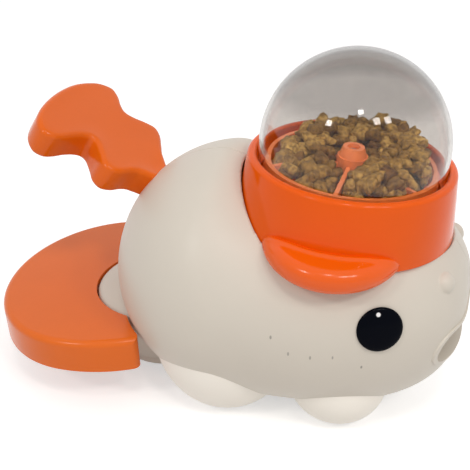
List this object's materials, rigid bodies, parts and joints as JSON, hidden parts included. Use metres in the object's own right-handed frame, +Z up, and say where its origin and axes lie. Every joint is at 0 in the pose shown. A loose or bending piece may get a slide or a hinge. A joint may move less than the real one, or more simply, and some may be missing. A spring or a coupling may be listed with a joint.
{
  "type": "dog food dispenser",
  "caption": "Animal-shaped food dispenser: pressing the rear paw pedal turns a vaned rotor under a clear dome so kibble drops through a chute and out of the mouth.",
  "frame": {"origin": "floor level, under the middle of the overall box", "axes": "+X towards the animal's nose, +Y its left side, +Z up"},
  "size_m": [0.3134, 0.171, 0.2269],
  "materials": {
    "white_plastic": "glossy moulded",
    "orange_plastic": "satin moulded",
    "clear_plastic": "clear polished",
    "black_plastic": "polished",
    "inner_plastic": "plain moulded",
    "bare_steel": "zinc plated"
  },
  "bodies": {
    "base": {"body_shell_right": "white_plastic", "body_shell_left": "white_plastic", "base_plate": "white_plastic", "rear_housing": "white_plastic", "collar": "orange_plastic", "ear_right": "orange_plastic", "ear_left": "orange_plastic", "bowl": "white_plastic", "shaft_bush": "inner_plastic", "gear_bridge": "inner_plastic", "rack_guide": "inner_plastic", "chute": "white_plastic", "mouth_lip": "white_plastic", "tail": "orange_plastic", "tail_bracket": "inner_plastic", "tail_screw": "bare_steel", "foot_rear_right": "white_plastic", "foot_rear_left": "white_plastic", "foot_front_right": "white_plastic", "foot_front_left": "white_plastic", "eye_right": "black_plastic", "eye_left": "black_plastic", "pedal_axle": "bare_steel", "spring_seat": "inner_plastic", "return_spring": "bare_steel", "collar_screws": "bare_steel", "body_screws": "bare_steel"},
    "dome": {"dome": "clear_plastic"},
    "rotor": {"food_rotor": "orange_plastic", "hub_cap": "orange_plastic", "hub_screw": "bare_steel", "drive_pinion": "inner_plastic"},
    "rack": {"rack_slider": "inner_plastic"},
    "pedal": {"pedal": "orange_plastic", "pedal_arm": "inner_plastic", "pedal_screws": "bare_steel", "lever_pin": "bare_steel"}
  },
  "joints": [
    {"name": "pedal_press", "type": "hinge", "parent": "base", "child": "pedal", "pos_m": [-0.0442, 0, 0.045], "axis": [0, -1, 0], "range_deg": [0, 12], "stiffness_Nm_per_rad": 0.6, "springref_deg": -20.05, "deforming": ["return_spring"]},
    {"name": "rack_slide", "type": "slide", "parent": "base", "child": "rack", "axis": [-0.9978, 0, 0.0663], "range_m": [0, 0.0162]},
    {"name": "rotor_turn", "type": "hinge", "parent": "base", "child": "rotor", "pos_m": [0.0787, 0, 0.1642], "axis": [0.0663, 0, 0.9978], "range_deg": [0, 60.1]},
    {"name": "dome_lift", "type": "slide", "parent": "base", "child": "dome", "axis": [0.0663, 0, 0.9978], "range_m": [0, 0.06]}
  ],
  "couplings": [
    {"joint": "rack_slide", "follows": "pedal_press", "m_per_rad": 0.076862},
    {"joint": "rotor_turn", "follows": "pedal_press", "ratio": 5}
  ]
}
